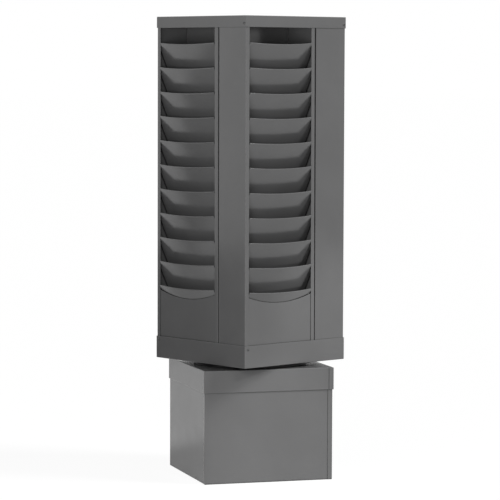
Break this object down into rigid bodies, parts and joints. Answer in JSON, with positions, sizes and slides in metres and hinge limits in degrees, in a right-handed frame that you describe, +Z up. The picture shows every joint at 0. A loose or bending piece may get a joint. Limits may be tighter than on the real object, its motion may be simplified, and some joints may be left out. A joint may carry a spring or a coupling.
{
  "type": "revolving periodical display rack",
  "caption": "Free-standing revolving rack in painted sheet steel: a square tower with leaning, bow-fronted pockets on every side, on a ball-bearing ring over a square base box.",
  "frame": {"origin": "on the floor, under the axis that the tower turns on, at the middle of the base", "axes": "+Z up; the tower's four faces look along -Y, +X, +Y and -X at rest"},
  "size_m": [0.4758, 0.4758, 1.2279],
  "materials": {
    "grey_paint": "satin grey baked paint with a fine orange-peel",
    "bearing_steel": "black oxide steel, slightly oily",
    "bearing_balls": "bright steel balls in a plain steel cage"
  },
  "bodies": {
    "base": {"base_box": "grey_paint", "base_lid": "grey_paint", "swivel_lower_ring": "bearing_steel"},
    "cage": {"swivel_ball_cage": "bearing_balls"},
    "tower": {"tower_pan": "grey_paint", "tower_cap": "grey_paint", "swivel_upper_ring": "bearing_steel", "front_rack_shell": "grey_paint", "front_rack_apron": "grey_paint", "front_rack_pocket_01": "grey_paint", "front_rack_pocket_02": "grey_paint", "front_rack_pocket_03": "grey_paint", "front_rack_pocket_04": "grey_paint", "front_rack_pocket_05": "grey_paint", "front_rack_pocket_06": "grey_paint", "front_rack_pocket_07": "grey_paint", "front_rack_pocket_08": "grey_paint", "front_rack_pocket_09": "grey_paint", "front_rack_pocket_10": "grey_paint", "front_rack_pocket_11": "grey_paint", "right_rack_shell": "grey_paint", "right_rack_apron": "grey_paint", "right_rack_pocket_01": "grey_paint", "right_rack_pocket_02": "grey_paint", "right_rack_pocket_03": "grey_paint", "right_rack_pocket_04": "grey_paint", "right_rack_pocket_05": "grey_paint", "right_rack_pocket_06": "grey_paint", "right_rack_pocket_07": "grey_paint", "right_rack_pocket_08": "grey_paint", "right_rack_pocket_09": "grey_paint", "right_rack_pocket_10": "grey_paint", "right_rack_pocket_11": "grey_paint", "back_rack_shell": "grey_paint", "back_rack_apron": "grey_paint", "back_rack_pocket_01": "grey_paint", "back_rack_pocket_02": "grey_paint", "back_rack_pocket_03": "grey_paint", "back_rack_pocket_04": "grey_paint", "back_rack_pocket_05": "grey_paint", "back_rack_pocket_06": "grey_paint", "back_rack_pocket_07": "grey_paint", "back_rack_pocket_08": "grey_paint", "back_rack_pocket_09": "grey_paint", "back_rack_pocket_10": "grey_paint", "back_rack_pocket_11": "grey_paint", "left_rack_shell": "grey_paint", "left_rack_apron": "grey_paint", "left_rack_pocket_01": "grey_paint", "left_rack_pocket_02": "grey_paint", "left_rack_pocket_03": "grey_paint", "left_rack_pocket_04": "grey_paint", "left_rack_pocket_05": "grey_paint", "left_rack_pocket_06": "grey_paint", "left_rack_pocket_07": "grey_paint", "left_rack_pocket_08": "grey_paint", "left_rack_pocket_09": "grey_paint", "left_rack_pocket_10": "grey_paint", "left_rack_pocket_11": "grey_paint"}
  },
  "joints": [
    {"name": "tower_turn", "type": "hinge", "parent": "base", "child": "tower", "pos_m": [0, 0, 0.30528], "axis": [0, 0, 1], "continuous": true},
    {"name": "cage_turn", "type": "hinge", "parent": "base", "child": "cage", "pos_m": [0, 0, 0.30528], "axis": [0, 0, 1], "continuous": true}
  ],
  "couplings": [
    {"joint": "cage_turn", "follows": "tower_turn", "ratio": 0.5}
  ]
}
